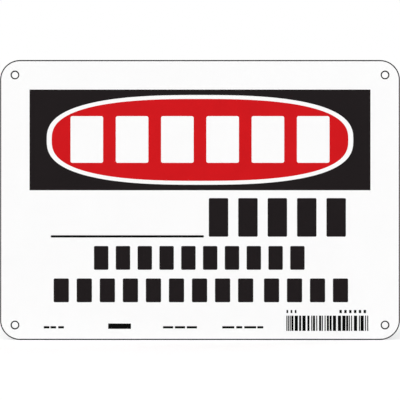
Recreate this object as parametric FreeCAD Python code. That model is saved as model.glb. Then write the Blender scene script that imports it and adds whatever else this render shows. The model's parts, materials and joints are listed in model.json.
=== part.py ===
import FreeCAD
import Part

import math
import os

# A flat safety sign: one blanked aluminium sheet with round corners, a fixing hole near
# each corner and worked edges. It stands upright as it hangs on a wall or a fence:
# its printed face looks towards -Y, +X is to the right and +Z is up. The origin is the
# centre of the four fixing holes, on the back face. Lengths are in millimetres.

# Sheet
sheet_width = 254.0  # 10 in
sheet_height = 177.8  # 7 in
sheet_thickness = 1.016  # 0.040 in
corner_radius = 12.7  # 1/2 in

# Fixing holes
hole_diameter = 3.96875  # 5/32 in
hole_inset = 9.525  # 3/8 in, from each edge of the sheet to the hole's centre

# Worked edges, round the outline and through the holes
front_edge_radius = 0.4  # rolled over by the punch and the die
back_edge_break = 0.15  # the burr taken off

# Header panel on the face
panel_margin = 18.8  # the same at the top and at both sides
panel_height = 63.9

# Oval in the header panel
oval_side_gap = 10.9  # between the panel's ends and the ring
oval_top_gap = 3.45  # between the panel's long sides and the ring
ring_side_width = 3.15
ring_top_width = 2.5
oval_squareness = 2.64  # exponent of the curve: 2 is an ellipse, more is fuller
oval_steps_per_quarter = 12

# Rule to write on, below the header panel
rule_left_inset = 32.2  # from the sheet's left edge
rule_length = 97.3
rule_width = 1.43
rule_drop = 29.3  # from the panel's lower side to the middle of the rule

# Worked-out places
half_width = sheet_width / 2
half_height = sheet_height / 2
front_y = -sheet_thickness
back_y = 0.0
panel_half_width = half_width - panel_margin
panel_top = half_height - panel_margin
panel_bottom = panel_top - panel_height
panel_middle = (panel_top + panel_bottom) / 2
same_plane = 1e-6


def on_face(x, z, y=front_y):
    return FreeCAD.Vector(x, y, z)


def rounded_rectangle(x_min, x_max, z_min, z_max, radius, y):
    """A closed wire of four sides and four corner arcs, in a plane that faces -Y."""
    diagonal = radius * (1 - math.sqrt(0.5))
    corners = [(x_max, z_max, 1, 1), (x_min, z_max, -1, 1), (x_min, z_min, -1, -1), (x_max, z_min, 1, -1)]
    arcs = []
    for x, z, right, up in corners:
        on_side = on_face(x, z - up * radius, y)
        on_end = on_face(x - right * radius, z, y)
        middle = on_face(x - right * diagonal, z - up * diagonal, y)
        first, last = (on_side, on_end) if right * up > 0 else (on_end, on_side)
        arcs.append(Part.Arc(first, middle, last))
    edges = []
    for arc, following in zip(arcs, arcs[1:] + arcs[:1]):
        edges.append(arc.toShape())
        if (following.StartPoint - arc.EndPoint).Length > same_plane:
            edges.append(Part.LineSegment(arc.EndPoint, following.StartPoint).toShape())
    return Part.Wire(edges)


def blank():
    outline = rounded_rectangle(-half_width, half_width, -half_height, half_height, corner_radius, back_y)
    return Part.Face(outline).extrude(FreeCAD.Vector(0, front_y, 0))


def hole_centres():
    across = half_width - hole_inset
    up = half_height - hole_inset
    return [on_face(x, z, back_y) for x in (-across, across) for z in (-up, up)]


def pierced(sheet):
    towards_front = FreeCAD.Vector(0, -1, 0)
    punches = [
        Part.makeCylinder(hole_diameter / 2, sheet_thickness, centre, towards_front)
        for centre in hole_centres()
    ]
    return sheet.cut(Part.Compound(punches)).Solids[0]


def edges_in_plane(sheet, y):
    """Every edge that lies flat in the plane at y: the outline and the rims of the holes."""
    flat = []
    for edge in sheet.Edges:
        box = edge.BoundBox
        if abs(box.YMin - y) < same_plane and abs(box.YMax - y) < same_plane:
            flat.append(edge)
    return flat


def with_worked_edges(sheet):
    rolled = sheet.makeFillet(front_edge_radius, edges_in_plane(sheet, front_y))
    return rolled.makeChamfer(back_edge_break, edges_in_plane(rolled, back_y)).Solids[0]


def quarter_oval(half_length, half_rise):
    """The upper right quarter of a full oval, between an ellipse and a rectangle."""
    power = 2 / oval_squareness
    points = []
    for step in range(oval_steps_per_quarter + 1):
        angle = math.pi / 2 * step / oval_steps_per_quarter
        across = half_length * max(math.cos(angle), 0.0) ** power
        up = half_rise * math.sin(angle) ** power
        points.append(on_face(across, panel_middle + up))
    points[-1].x = 0.0
    straight_up = FreeCAD.Vector(0, 0, 1)
    level = FreeCAD.Vector(-1, 0, 0)
    curve = Part.BSplineCurve()
    curve.interpolate(points, InitialTangent=straight_up, FinalTangent=level)
    return curve.toShape()


def oval_face(half_length, half_rise):
    middle = on_face(0, panel_middle)
    right_upper = quarter_oval(half_length, half_rise)
    left_upper = right_upper.mirror(middle, FreeCAD.Vector(1, 0, 0))
    lower = [edge.mirror(middle, FreeCAD.Vector(0, 0, 1)) for edge in (left_upper, right_upper)]
    edges = Part.__sortEdges__([right_upper, left_upper] + lower)
    return Part.Face(Part.Wire(edges))


def header_fields():
    corners = [
        on_face(-panel_half_width, panel_bottom),
        on_face(panel_half_width, panel_bottom),
        on_face(panel_half_width, panel_top),
        on_face(-panel_half_width, panel_top),
    ]
    panel = Part.Face(Part.makePolygon(corners + corners[:1]))
    ring_length = panel_half_width - oval_side_gap
    ring_rise = panel_height / 2 - oval_top_gap
    ring = oval_face(ring_length, ring_rise)
    field = oval_face(ring_length - ring_side_width, ring_rise - ring_top_width)
    return [panel, ring, field]


def rule_field():
    left = rule_left_inset - half_width
    middle = panel_bottom - rule_drop
    half = rule_width / 2
    outline = rounded_rectangle(left, left + rule_length, middle - half, middle + half, half, front_y)
    return Part.Face(outline)


def with_colour_fields(sheet):
    """Each printed field becomes a face of its own in the front, with no thickness."""
    _, pieces_of = sheet.generalFuse(header_fields() + [rule_field()])
    return pieces_of[0][0]


def sign_sheet():
    return with_colour_fields(with_worked_edges(pierced(blank())))


def write(name, shape):
    shape.exportStep(f"parts/{name}.step")
    box = shape.optimalBoundingBox()
    print(f"{name}: {shape.ShapeType}, valid {shape.isValid()}, {len(shape.Solids)} solid")
    print(f"  {len(shape.Faces)} faces, volume {shape.Volume:.1f} mm3")
    print(f"  box {box.XLength:.3f} x {box.YLength:.3f} x {box.ZLength:.3f} mm")


os.makedirs("parts", exist_ok=True)
write("sign_sheet", sign_sheet())
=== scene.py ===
import json
import math

import bpy
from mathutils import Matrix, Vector


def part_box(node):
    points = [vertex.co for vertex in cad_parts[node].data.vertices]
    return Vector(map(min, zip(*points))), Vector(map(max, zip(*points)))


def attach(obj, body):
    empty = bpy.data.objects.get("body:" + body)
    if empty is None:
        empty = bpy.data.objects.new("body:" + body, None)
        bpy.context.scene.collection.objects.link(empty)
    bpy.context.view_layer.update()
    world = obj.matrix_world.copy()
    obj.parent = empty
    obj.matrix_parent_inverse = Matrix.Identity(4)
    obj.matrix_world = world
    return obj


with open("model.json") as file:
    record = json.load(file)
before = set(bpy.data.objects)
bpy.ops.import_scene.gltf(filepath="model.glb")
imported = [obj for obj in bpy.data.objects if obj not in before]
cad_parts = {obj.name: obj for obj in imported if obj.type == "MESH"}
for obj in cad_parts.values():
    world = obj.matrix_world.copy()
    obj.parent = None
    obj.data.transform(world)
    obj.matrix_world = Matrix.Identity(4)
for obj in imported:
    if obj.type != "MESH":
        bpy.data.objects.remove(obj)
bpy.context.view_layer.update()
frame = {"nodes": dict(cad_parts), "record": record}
sheetLow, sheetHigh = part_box("sign_sheet")
mounts = {mount["name"]: mount for mount in frame["record"]["mounts"]}
scene = bpy.context.scene
mm = 0.001
print("frame loaded: sheet", [round(side / mm, 2) for side in sheetHigh - sheetLow], "mm")


# Small helpers for node trees

def addNode(tree, kind, inputs=None, **settings):
    made = tree.nodes.new(kind)
    for name, value in settings.items():
        setattr(made, name, value)
    for socket, value in (inputs or {}).items():
        if isinstance(value, bpy.types.NodeSocket):
            tree.links.new(value, made.inputs[socket])
        else:
            made.inputs[socket].default_value = value
    return made


def addMath(tree, operation, first, second=0.0, third=0.0):
    made = addNode(tree, "ShaderNodeMath", {0: first, 1: second, 2: third}, operation=operation)
    return made.outputs[0]


# Camera: square on to the face, as in the photo, with the sheet as wide as the picture

camera = {
    "lens": 200.0,  # mm, long, because the photo shows no perspective
    "sensor": 36.0,  # mm
    "aimDepth": -0.6 * mm,  # where the outline is widest, between the two worked edges
    "clip": (0.01, 50),  # the nearest and the furthest that it sees, in its own distances
}


def makeCamera():
    data = bpy.data.cameras.new("camera")
    data.lens = camera["lens"]
    data.sensor_width = camera["sensor"]
    distance = (sheetHigh.x - sheetLow.x) * camera["lens"] / camera["sensor"]
    data.clip_start, data.clip_end = [distance * share for share in camera["clip"]]
    viewer = bpy.data.objects.new("camera", data)
    viewer.location = ((sheetLow.x + sheetHigh.x) / 2, camera["aimDepth"] - distance, 0)
    viewer.rotation_euler = (math.radians(90), 0, 0)
    scene.collection.objects.link(viewer)
    scene.camera = viewer


makeCamera()
print("camera ready")


# Light: a soft sky, a broad key lamp high in front and a weak one behind

light = {
    "sky": 0.61,
    "key": {"from": (-0.10, -0.72, 0.68), "strength": 1.43, "spread": 50},  # degrees
    "back": {"from": (0.35, 0.75, 0.55), "strength": 0.35, "spread": 60},
}


def makeLamp(name, lamp):
    data = bpy.data.lights.new(name, "SUN")
    data.energy = lamp["strength"]
    data.angle = math.radians(lamp["spread"])
    made = bpy.data.objects.new(name, data)
    made.rotation_euler = Vector(lamp["from"]).to_track_quat("Z", "Y").to_euler()
    scene.collection.objects.link(made)


def seenDirectly(tree):
    # 1 for what the camera sees, also by reflection and through glass
    rays = addNode(tree, "ShaderNodeLightPath").outputs
    straight = addMath(tree, "MAXIMUM", rays["Is Camera Ray"], rays["Is Glossy Ray"])
    return addMath(tree, "MAXIMUM", straight, rays["Is Transmission Ray"])


def makeSky():
    world = bpy.data.worlds.new("studio")
    world.use_nodes = True
    tree = world.node_tree
    tree.nodes.clear()
    white = (1, 1, 1, 1)
    soft = addNode(tree, "ShaderNodeBackground", {"Color": white, "Strength": light["sky"]})
    backdrop = addNode(tree, "ShaderNodeBackground", {"Color": white, "Strength": 1.0})
    inputs = {0: seenDirectly(tree), 1: soft.outputs[0], 2: backdrop.outputs[0]}
    both = addNode(tree, "ShaderNodeMixShader", inputs)
    addNode(tree, "ShaderNodeOutputWorld", {"Surface": both.outputs[0]})
    scene.world = world


makeLamp("keyLamp", light["key"])
makeLamp("backLamp", light["back"])
makeSky()
scene.view_settings.view_transform = "Standard"
print("light ready")


# Floor: pale and plain. The sign stands on it.

floor = {
    "halfSide": 6.0,
    "colour": (0.86, 0.86, 0.86, 1),
    "glow": 0.19,  # lifts it to white for the camera, and the shadow stays
}


def makeFloor():
    level, half = sheetLow.z, floor["halfSide"]
    corners = [(-half, -half, level), (half, -half, level), (half, half, level), (-half, half, level)]
    mesh = bpy.data.meshes.new("floor")
    mesh.from_pydata(corners, [], [(0, 1, 2, 3)])
    made = bpy.data.objects.new("floor", mesh)
    scene.collection.objects.link(made)
    material = bpy.data.materials.new("paleFloor")
    material.use_nodes = True
    tree = material.node_tree
    tree.nodes.clear()
    paint = addNode(tree, "ShaderNodeBsdfDiffuse", {"Color": floor["colour"]})
    glow = addMath(tree, "MULTIPLY", seenDirectly(tree), floor["glow"])
    lift = addNode(tree, "ShaderNodeEmission", {"Strength": glow})
    both = addNode(tree, "ShaderNodeAddShader", {0: paint.outputs[0], 1: lift.outputs[0]})
    addNode(tree, "ShaderNodeOutputMaterial", {"Surface": both.outputs[0]})
    mesh.materials.append(material)


makeFloor()
print("floor ready")


# Finishes. Their patterns lie in the frame's own coordinates.

noiseSpread = (0.3, 0.7)  # nearly all of a noise lies between these


def newMaterial(name):
    # the material, its tree, where a point of the surface is, and the shader
    material = bpy.data.materials.new(name)
    material.use_nodes = True
    tree = material.node_tree
    tree.nodes.clear()
    place = addNode(tree, "ShaderNodeTexCoord").outputs["Object"]
    surface = addNode(tree, "ShaderNodeBsdfPrincipled")
    addNode(tree, "ShaderNodeOutputMaterial", {"Surface": surface.outputs[0]})
    return material, tree, place, surface


def addRange(tree, value, low, high, fromLow=0.0, fromHigh=1.0):
    inputs = {"Value": value, "From Min": fromLow, "From Max": fromHigh, "To Min": low, "To Max": high}
    return addNode(tree, "ShaderNodeMapRange", inputs).outputs[0]


def addNoise(tree, place, size, detail=2.0, stretch=(1, 1, 1)):
    # 0 to 1, in blotches of this size, drawn out along an axis where stretch is under 1
    fitted = addNode(tree, "ShaderNodeMapping", {"Vector": place, "Scale": stretch})
    inputs = {"Vector": fitted.outputs[0], "Scale": 1 / size, "Detail": detail}
    noise = addNode(tree, "ShaderNodeTexNoise", inputs)
    return addRange(tree, noise.outputs["Fac"], 0, 1, *noiseSpread)


def addTint(tree, value, low, high):
    # low and high are each a colour or another tint
    inputs = {"Factor": value}
    for end, colour in (("A", low), ("B", high)):
        inputs[end] = colour if isinstance(colour, bpy.types.NodeSocket) else (*colour, 1)
    return addNode(tree, "ShaderNodeMix", inputs, data_type="RGBA").outputs["Result"]


def addBump(tree, surface, height, depth):
    bump = addNode(tree, "ShaderNodeBump", {"Height": height, "Strength": 1.0, "Distance": depth})
    tree.links.new(bump.outputs[0], surface.inputs["Normal"])


def mottled(colour, share):
    # the darkest and the palest that the colour gets
    return [tuple(channel * factor for channel in colour) for factor in (1 - share, 1 + share)]


# White coat: baked paint, satin, with the faint waves that it sets with

coatFinish = {
    "colour": (0.925, 0.925, 0.925),
    "mottle": 0.006,  # share by which the colour wanders
    "mottleSize": 30 * mm,
    "shine": 0.35,
    "roughness": (0.29, 0.36),
    "waveSize": 1.1 * mm,
    "waveDepth": 0.005 * mm,
}


def makeCoatFinish():
    material, tree, place, surface = newMaterial("whiteCoat")
    blotches = addNoise(tree, place, coatFinish["mottleSize"])
    tint = addTint(tree, blotches, *mottled(coatFinish["colour"], coatFinish["mottle"]))
    tree.links.new(tint, surface.inputs["Base Color"])
    waves = addNoise(tree, place, coatFinish["waveSize"])
    tree.links.new(addRange(tree, waves, *coatFinish["roughness"]), surface.inputs["Roughness"])
    addBump(tree, surface, waves, coatFinish["waveDepth"])
    surface.inputs["Specular IOR Level"].default_value = coatFinish["shine"]
    return material


# Inks: screen printed, less glossy than the coat, with the grain that the screen leaves. The black
# is a little warm, and the rule and the small marks are in a deeper one.

inkFinish = {
    "black": {"colour": (0.0105, 0.0077, 0.0084), "shine": 0.06},
    "deepBlack": {"colour": (0.0020, 0.0020, 0.0020), "shine": 0.03},
    "red": {"colour": (0.594, 0.0058, 0.0090), "shine": 0.06},
    "mottle": 0.035,
    "mottleSize": 18 * mm,
    "roughness": (0.40, 0.52),
    "grainSize": 0.35 * mm,
    "grainDepth": 0.003 * mm,
}


def makeInkFinish(name):
    material, tree, place, surface = newMaterial(name + "Ink")
    ink = inkFinish[name]
    blotches = addNoise(tree, place, inkFinish["mottleSize"], detail=3.0)
    tint = addTint(tree, blotches, *mottled(ink["colour"], inkFinish["mottle"]))
    tree.links.new(tint, surface.inputs["Base Color"])
    grain = addNoise(tree, place, inkFinish["grainSize"])
    tree.links.new(addRange(tree, grain, *inkFinish["roughness"]), surface.inputs["Roughness"])
    addBump(tree, surface, grain, inkFinish["grainDepth"])
    surface.inputs["Specular IOR Level"].default_value = ink["shine"]
    return material


# Bare sheet: mill-rolled aluminium on the back and the sheared edge, with painted shade (a near-black
# colour) on the rolled-over rim

metalFinish = {
    "dull": (0.53, 0.54, 0.55),
    "bright": (0.66, 0.67, 0.68),
    "roughness": (0.30, 0.44),
    "grainSize": 0.22 * mm,
    "grainStretch": (0.01, 1, 1),  # rolled along the sheet's long side
    "grainDepth": 0.0015 * mm,
    "bandSize": 25 * mm,
    "bandStretch": (0.15, 1, 1),
    "bandShare": 0.30,  # of the tint's change, and the rest goes with the grain
}

# Painted shade: the near-black on the rolled-over rim round the outline and round the holes is colour that
# stands in for edge shade. Its noise only varies the tone of that shade and where it ends.
paintedRimShade = {
    "dark": (0.012, 0.012, 0.013),
    "paleShade": (0.024, 0.024, 0.025),
    "rimShadeNoiseSize": 1.5 * mm,
    "roughness": 0.5,
    "shine": 0.08,
    "ends": (-0.66 * mm, -0.54 * mm),  # depths between which the dark gives way to bare metal
    "wander": 0.10 * mm,
}


def makeMetalFinish():
    material, tree, place, surface = newMaterial("bareMetal")
    grain = addNoise(tree, place, metalFinish["grainSize"], 4.0, metalFinish["grainStretch"])
    bands = addNoise(tree, place, metalFinish["bandSize"], stretch=metalFinish["bandStretch"])
    fromBands = addMath(tree, "MULTIPLY", bands, metalFinish["bandShare"])
    brightness = addMath(tree, "MULTIPLY_ADD", grain, 1 - metalFinish["bandShare"], fromBands)
    rolled = addTint(tree, brightness, metalFinish["dull"], metalFinish["bright"])

    # painted shade on the rim: a near-black colour, faintly mottled, in front of the given depths, and bare
    # metal behind them
    rimShadeNoise = addNoise(tree, place, paintedRimShade["rimShadeNoiseSize"])
    rim = addTint(tree, rimShadeNoise, paintedRimShade["dark"], paintedRimShade["paleShade"])
    depth = addNode(tree, "ShaderNodeSeparateXYZ", {"Vector": place}).outputs["Y"]
    wander = addRange(tree, rimShadeNoise, -paintedRimShade["wander"] / 2, paintedRimShade["wander"] / 2)
    isBare = addRange(tree, addMath(tree, "ADD", depth, wander), 0, 1, *paintedRimShade["ends"])

    tree.links.new(addTint(tree, isBare, rim, rolled), surface.inputs["Base Color"])
    tree.links.new(isBare, surface.inputs["Metallic"])
    brushed = addRange(tree, grain, *metalFinish["roughness"])
    inputs = {"Factor": isBare, "A": paintedRimShade["roughness"], "B": brushed}
    roughness = addNode(tree, "ShaderNodeMix", inputs, data_type="FLOAT")
    tree.links.new(roughness.outputs["Result"], surface.inputs["Roughness"])
    addBump(tree, surface, grain, metalFinish["grainDepth"])
    surface.inputs["Specular IOR Level"].default_value = paintedRimShade["shine"]
    return material


whiteCoat = makeCoatFinish()
blackInk = makeInkFinish("black")
deepBlackInk = makeInkFinish("deepBlack")
redInk = makeInkFinish("red")
bareMetal = makeMetalFinish()
for materialSlot in frame["nodes"]["sign_sheet"].material_slots:
    materialSlot.material = bareMetal
print("finishes ready")


# Films: the coat and the inks are thin closed slabs, each on what lies under it

film = {
    "coat": 0.06 * mm,
    "ink": 0.04 * mm,
    "bite": 0.01 * mm,  # how far each reaches into what carries it
    "weld": 0.0005 * mm,  # points nearer than this are one
}
sheetFace = sheetLow.y
coatFace = sheetFace - film["coat"]
filmInputs = {
    "Across": "Float",
    "Up": "Float",
    "Depth": "Float",  # of its underside, along Y
    "Thickness": "Float",
    "Finish": "Material",
}


def newTree(name, inputs):
    tree = bpy.data.node_groups.new(name, "GeometryNodeTree")
    for label, kind in inputs.items():
        tree.interface.new_socket(name=label, in_out="INPUT", socket_type="NodeSocket" + kind)
    tree.interface.new_socket(name="Geometry", in_out="OUTPUT", socket_type="NodeSocketGeometry")
    return tree, tree.nodes.new("NodeGroupInput").outputs


def addJoin(tree, *parts):
    joined = addNode(tree, "GeometryNodeJoinGeometry")
    for part in parts:
        tree.links.new(part, joined.inputs[0])
    return joined.outputs[0]


def addRectangle(tree, width, height):
    inputs = {"Width": width, "Height": height}
    return addNode(tree, "GeometryNodeCurvePrimitiveQuadrilateral", inputs, mode="RECTANGLE").outputs[0]


def addRounding(tree, curves, radius, steps):
    inputs = {"Curve": curves, "Radius": radius, "Count": steps, "Limit Radius": True}
    return addNode(tree, "GeometryNodeFilletCurve", inputs, mode="POLY").outputs[0]


def addCircle(tree, radius, steps):
    inputs = {"Resolution": steps, "Radius": radius}
    return addNode(tree, "GeometryNodeCurvePrimitiveCircle", inputs, mode="RADIUS").outputs[0]


def endAsFilm(tree, given, curves):
    # fills the curves, gives them thickness and stands them up on the face
    flat = addNode(tree, "GeometryNodeFillCurve", {"Curve": curves}, mode="TRIANGLES").outputs[0]
    inputs = {"Mesh": flat, "Offset Scale": given["Thickness"], "Individual": False}
    raised = addNode(tree, "GeometryNodeExtrudeMesh", inputs, mode="FACES").outputs["Mesh"]
    underside = addNode(tree, "GeometryNodeFlipFaces", {"Mesh": flat}).outputs[0]
    inputs = {"Geometry": addJoin(tree, underside, raised), "Distance": film["weld"]}
    closed = addNode(tree, "GeometryNodeMergeByDistance", inputs).outputs[0]
    inputs = {"X": given["Across"], "Y": given["Depth"], "Z": given["Up"]}
    spot = addNode(tree, "ShaderNodeCombineXYZ", inputs).outputs[0]
    inputs = {"Geometry": closed, "Translation": spot, "Rotation": (math.radians(90), 0, 0)}
    placed = addNode(tree, "GeometryNodeTransform", inputs).outputs[0]
    real = addNode(tree, "GeometryNodeRealizeInstances", {"Geometry": placed}).outputs[0]
    inputs = {"Geometry": real, "Material": given["Finish"]}
    finished = addNode(tree, "GeometryNodeSetMaterial", inputs).outputs[0]
    addNode(tree, "NodeGroupOutput", {"Geometry": finished})


def makePiece(name, tree, values):
    mesh = bpy.data.meshes.new(name)
    piece = bpy.data.objects.new(name, mesh)
    scene.collection.objects.link(piece)
    maker = piece.modifiers.new("maker", "NODES")
    maker.node_group = tree
    for socket in tree.interface.items_tree:
        if socket.in_out == "INPUT":
            maker[socket.identifier] = values[socket.name]
    evaluated = piece.evaluated_get(bpy.context.evaluated_depsgraph_get())
    made = bpy.data.meshes.new_from_object(evaluated)
    piece.modifiers.remove(maker)
    piece.data = made
    bpy.data.meshes.remove(mesh)
    made.name = name
    made.shade_flat()
    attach(piece, "root")


def onCoat(across, up, finish):
    # where a film of ink lies: across and up in millimetres from the middle of the sign
    return {
        "Across": across * mm,
        "Up": up * mm,
        "Depth": coatFace + film["bite"],
        "Thickness": film["ink"] + film["bite"],
        "Finish": finish,
    }


# White coat: it covers the face and stops short of the rolled edges, so the sheet's painted shade shows
# there as a dark rim

coat = {
    "cornerRadius": 12.7 * mm,  # of the sheet's outline
    "cornerSteps": 28,
    "holeSteps": 64,
    "rim": 0.80 * mm,  # left bare round the outline
    "holeRim": 0.83 * mm,  # and round each hole
}
coatInputs = {
    "Width": "Float",
    "Height": "Float",
    "Corner": "Float",
    "Hole": "Float",
    "Holes Across": "Float",
    "Holes Up": "Float",
}


def coatTree():
    tree, given = newTree("coat", {**coatInputs, **filmInputs})
    sides = addRectangle(tree, given["Width"], given["Height"])
    outline = addRounding(tree, sides, given["Corner"], coat["cornerSteps"])
    inputs = {"Size X": given["Holes Across"], "Size Y": given["Holes Up"], "Vertices X": 2, "Vertices Y": 2}
    centres = addNode(tree, "GeometryNodeMeshGrid", inputs).outputs[0]
    inputs = {"Points": centres, "Instance": addCircle(tree, given["Hole"], coat["holeSteps"])}
    rings = addNode(tree, "GeometryNodeInstanceOnPoints", inputs).outputs[0]
    holes = addNode(tree, "GeometryNodeRealizeInstances", {"Geometry": rings}).outputs[0]
    endAsFilm(tree, given, addJoin(tree, outline, holes))
    return tree


def makeCoat():
    holes = mounts["fixing_holes"]["dims"]
    values = {
        "Width": sheetHigh.x - sheetLow.x - 2 * coat["rim"],
        "Height": sheetHigh.z - sheetLow.z - 2 * coat["rim"],
        "Corner": coat["cornerRadius"] - coat["rim"],
        "Hole": holes["hole_r_mm"] * mm + coat["holeRim"],
        "Holes Across": holes["spacing_x_mm"] * mm,
        "Holes Up": holes["spacing_y_mm"] * mm,
        "Across": 0.0,
        "Up": 0.0,
        "Depth": sheetFace + film["bite"],
        "Thickness": film["coat"] + film["bite"],
        "Finish": whiteCoat,
    }
    makePiece("white_coat", coatTree(), values)


makeCoat()
print("coat ready")


# Blocks in a row: every second place along it is a gap, and seeded steps make the widths uneven
# where more than one step is allowed

rowInputs = {
    "Places": "Int",  # blocks and the gaps between them
    "Length": "Float",
    "Height": "Float",
    "Block Share": "Float",
    "Width Steps": "Int",
    "Seed": "Int",
    "Rounding": "Float",
}
roundingSteps = 5  # in each corner of a block


def rowOfBlocks():
    tree, given = newTree("rowOfBlocks", rowInputs)
    index = addNode(tree, "GeometryNodeInputIndex").outputs[0]
    isGap = addMath(tree, "MODULO", index, 2.0)
    # the blocks' share for a block, and what is left of 1 for a gap
    share = addMath(tree, "ABSOLUTE", addMath(tree, "SUBTRACT", isGap, given["Block Share"]))

    steps = addNode(tree, "FunctionNodeRandomValue", {"Seed": given["Seed"], "ID": index}, data_type="INT")
    lowest, highest = [socket for socket in steps.inputs if socket.type == "INT"][:2]
    lowest.default_value = 1
    tree.links.new(given["Width Steps"], highest)
    drawn = next(socket for socket in steps.outputs if socket.type == "INT")
    weight = addMath(tree, "MULTIPLY", share, drawn)

    sums = addNode(tree, "GeometryNodeAccumulateField", {"Value": weight}, data_type="FLOAT").outputs
    perWeight = addMath(tree, "DIVIDE", given["Length"], sums["Total"])
    width = addMath(tree, "MULTIPLY", weight, perWeight)
    middleWeight = addMath(tree, "MULTIPLY_ADD", weight, 0.5, sums["Trailing"])
    fromLeft = addMath(tree, "MULTIPLY", middleWeight, perWeight)
    middle = addMath(tree, "MULTIPLY_ADD", given["Length"], -0.5, fromLeft)

    line = addNode(tree, "GeometryNodeMeshLine", {"Count": given["Places"], "Offset": (0, 0, 0)}).outputs[0]
    spot = addNode(tree, "ShaderNodeCombineXYZ", {"X": middle}).outputs[0]
    spread = addNode(tree, "GeometryNodeSetPosition", {"Geometry": line, "Offset": spot}).outputs[0]
    size = addNode(tree, "ShaderNodeCombineXYZ", {"X": width, "Y": given["Height"], "Z": 1.0}).outputs[0]
    inputs = {
        "Points": spread,
        "Selection": addMath(tree, "LESS_THAN", isGap, 0.5),
        "Instance": addRectangle(tree, 1.0, 1.0),
        "Scale": size,
    }
    blocks = addNode(tree, "GeometryNodeInstanceOnPoints", inputs).outputs[0]
    real = addNode(tree, "GeometryNodeRealizeInstances", {"Geometry": blocks}).outputs[0]
    addNode(tree, "NodeGroupOutput", {"Geometry": addRounding(tree, real, given["Rounding"], roundingSteps)})
    return tree


def addGroup(tree, given, group, labels):
    made = addNode(tree, "GeometryNodeGroup", node_tree=group)
    for label in labels:
        tree.links.new(given[label], made.inputs[label])
    return made.outputs[0]


def rowValues(row):
    return {
        "Places": 2 * row["count"] - 1,
        "Length": (row["right"] - row["left"]) * mm,
        "Height": (row["high"] - row["low"]) * mm,
        "Block Share": row["share"],
        "Width Steps": row["steps"],
        "Seed": row["seed"],
        "Rounding": row["rounding"] * mm,
    }


rowGroup = rowOfBlocks()


# Header: a black panel with an oval window, and the red field in it. The ring between them and
# the six blocks in the field are the bare white coat. From here on, lengths are in millimetres
# and places are from the middle of the sign.

header = {
    "margin": 18.8,  # from the sheet's top and sides to the panel
    "height": 63.9,
    "ovalGaps": (10.9, 3.45),  # between panel and ring, at its ends and above and below it
    "ringWidths": (3.15, 2.5),  # in the same places
    "squareness": 2.64,  # 2 is an ellipse, more is fuller
    "ovalSteps": 256,
}
headerRow = {
    "left": -82.2, "right": 82.2, "low": 23.6, "high": 53.25,
    "count": 6, "share": 0.72, "rounding": 1.2, "steps": 1, "seed": 0,
}
ovalInputs = {"Half Length": "Float", "Half Rise": "Float", "Squareness": "Float"}


def fullOval():
    tree, given = newTree("fullOval", ovalInputs)
    circle = addCircle(tree, 1.0, header["ovalSteps"])
    position = addNode(tree, "GeometryNodeInputPosition").outputs[0]
    unit = addNode(tree, "ShaderNodeSeparateXYZ", {"Vector": position}).outputs
    power = addMath(tree, "DIVIDE", 2.0, given["Squareness"])

    def pushedOut(along, half):
        fuller = addMath(tree, "POWER", addMath(tree, "ABSOLUTE", along), power)
        signed = addMath(tree, "MULTIPLY", fuller, addMath(tree, "SIGN", along))
        return addMath(tree, "MULTIPLY", signed, half)

    inputs = {"X": pushedOut(unit["X"], given["Half Length"]), "Y": pushedOut(unit["Y"], given["Half Rise"])}
    place = addNode(tree, "ShaderNodeCombineXYZ", inputs).outputs[0]
    oval = addNode(tree, "GeometryNodeSetPosition", {"Geometry": circle, "Position": place}).outputs[0]
    addNode(tree, "NodeGroupOutput", {"Geometry": oval})
    return tree


def panelTree(ovalGroup):
    tree, given = newTree("headerPanel", {"Width": "Float", "Height": "Float", **ovalInputs, **filmInputs})
    sides = addRectangle(tree, given["Width"], given["Height"])
    endAsFilm(tree, given, addJoin(tree, sides, addGroup(tree, given, ovalGroup, ovalInputs)))
    return tree


def fieldTree(ovalGroup):
    tree, given = newTree("redField", {**ovalInputs, **rowInputs, "Row Rise": "Float", **filmInputs})
    lift = addNode(tree, "ShaderNodeCombineXYZ", {"Y": given["Row Rise"]}).outputs[0]
    inputs = {"Geometry": addGroup(tree, given, rowGroup, rowInputs), "Translation": lift}
    row = addNode(tree, "GeometryNodeTransform", inputs).outputs[0]
    endAsFilm(tree, given, addJoin(tree, addGroup(tree, given, ovalGroup, ovalInputs), row))
    return tree


def ovalValues(halves):
    return {"Half Length": halves[0] * mm, "Half Rise": halves[1] * mm, "Squareness": header["squareness"]}


def makeHeader():
    panelHalves = (sheetHigh.x / mm - header["margin"], header["height"] / 2)
    windowHalves = [half - gap for half, gap in zip(panelHalves, header["ovalGaps"])]
    fieldHalves = [half - width for half, width in zip(windowHalves, header["ringWidths"])]
    middle = sheetHigh.z / mm - header["margin"] - panelHalves[1]
    ovalGroup = fullOval()

    panel = {"Width": 2 * panelHalves[0] * mm, "Height": header["height"] * mm}
    panel.update(ovalValues(windowHalves))
    panel.update(onCoat(0, middle, blackInk))
    makePiece("header_panel", panelTree(ovalGroup), panel)

    rowMiddle = (headerRow["low"] + headerRow["high"]) / 2
    field = {"Row Rise": (rowMiddle - middle) * mm}
    field.update(ovalValues(fieldHalves))
    field.update(rowValues(headerRow))
    field.update(onCoat(0, middle, redInk))
    makePiece("red_field", fieldTree(ovalGroup), field)


makeHeader()
print("header ready")


# Black ink below the header: the rule to write on, the rows of blocks and the small marks

plainRow = {"share": 0.66, "rounding": 0.8, "steps": 1, "seed": 0}  # what a row has unless it says more

writingRule = {"left": -94.8, "right": 2.5, "low": -23.815, "high": -22.385, "count": 1, "rounding": 0.7}

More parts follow.
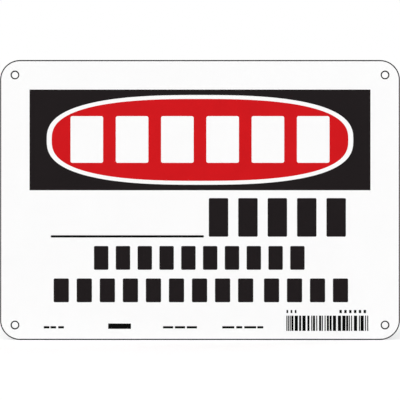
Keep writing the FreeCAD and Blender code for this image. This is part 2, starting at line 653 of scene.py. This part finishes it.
messageRows = {
    "message_row_upper": {"left": 5.6, "right": 92.6, "low": -23.3, "high": 1.2, "count": 5},
    "message_row_middle": {"left": -67.3, "right": 66.4, "low": -44.3, "high": -29.2, "count": 10},
    "message_row_lower_long": {"left": -92.9, "right": 33.8, "low": -64.9, "high": -49.8, "count": 9},
    "message_row_lower_short": {"left": 40.6, "right": 94.0, "low": -64.9, "high": -49.8, "count": 4},
}

smallBar = {"low": -81.5, "high": -80.1, "share": 0.86, "rounding": 0.2, "steps": 2}
smallBars = {
    "small_bars_left": {"left": -99.2, "right": -86.4, "count": 3, "share": 0.74, "seed": 2},
    "small_bar_thick": {"left": -58.3, "right": -43.8, "low": -81.8, "high": -78.4, "count": 1},
    "small_bars_middle": {"left": -23.5, "right": -1.9, "count": 3, "seed": 4},
    "small_bars_right": {"left": 14.1, "right": 40.2, "count": 4, "seed": 7},
}

stripMark = {"low": -71.8, "high": -69.8, "share": 0.50, "rounding": 0.2}
stripMarks = {
    "strip_marks_left": {"left": 54.9, "right": 61.2, "count": 3, "share": 0.40},
    "strip_marks_right": {"left": 88.5, "right": 105.4, "count": 6},
}

barStrip = {
    "left": 54.8, "right": 106.8, "low": -83.1, "high": -73.4,
    "count": 27, "rounding": 0.0, "steps": 3, "seed": 11,
}


def inkRowTree():
    tree, given = newTree("inkRow", {**rowInputs, **filmInputs})
    endAsFilm(tree, given, addGroup(tree, given, rowGroup, rowInputs))
    return tree


inkRow = inkRowTree()


def makeRow(name, ink, *settings):
    row = dict(plainRow)
    for setting in settings:
        row.update(setting)
    across = (row["left"] + row["right"]) / 2
    up = (row["low"] + row["high"]) / 2
    makePiece(name, inkRow, {**rowValues(row), **onCoat(across, up, ink)})


makeRow("writing_rule", deepBlackInk, writingRule)
for name, row in messageRows.items():
    makeRow(name, blackInk, row)
print("message rows ready")

for name, row in smallBars.items():
    makeRow(name, deepBlackInk, smallBar, row)
for name, row in stripMarks.items():
    makeRow(name, deepBlackInk, stripMark, row)
makeRow("bar_strip", deepBlackInk, barStrip)
print("small marks ready")
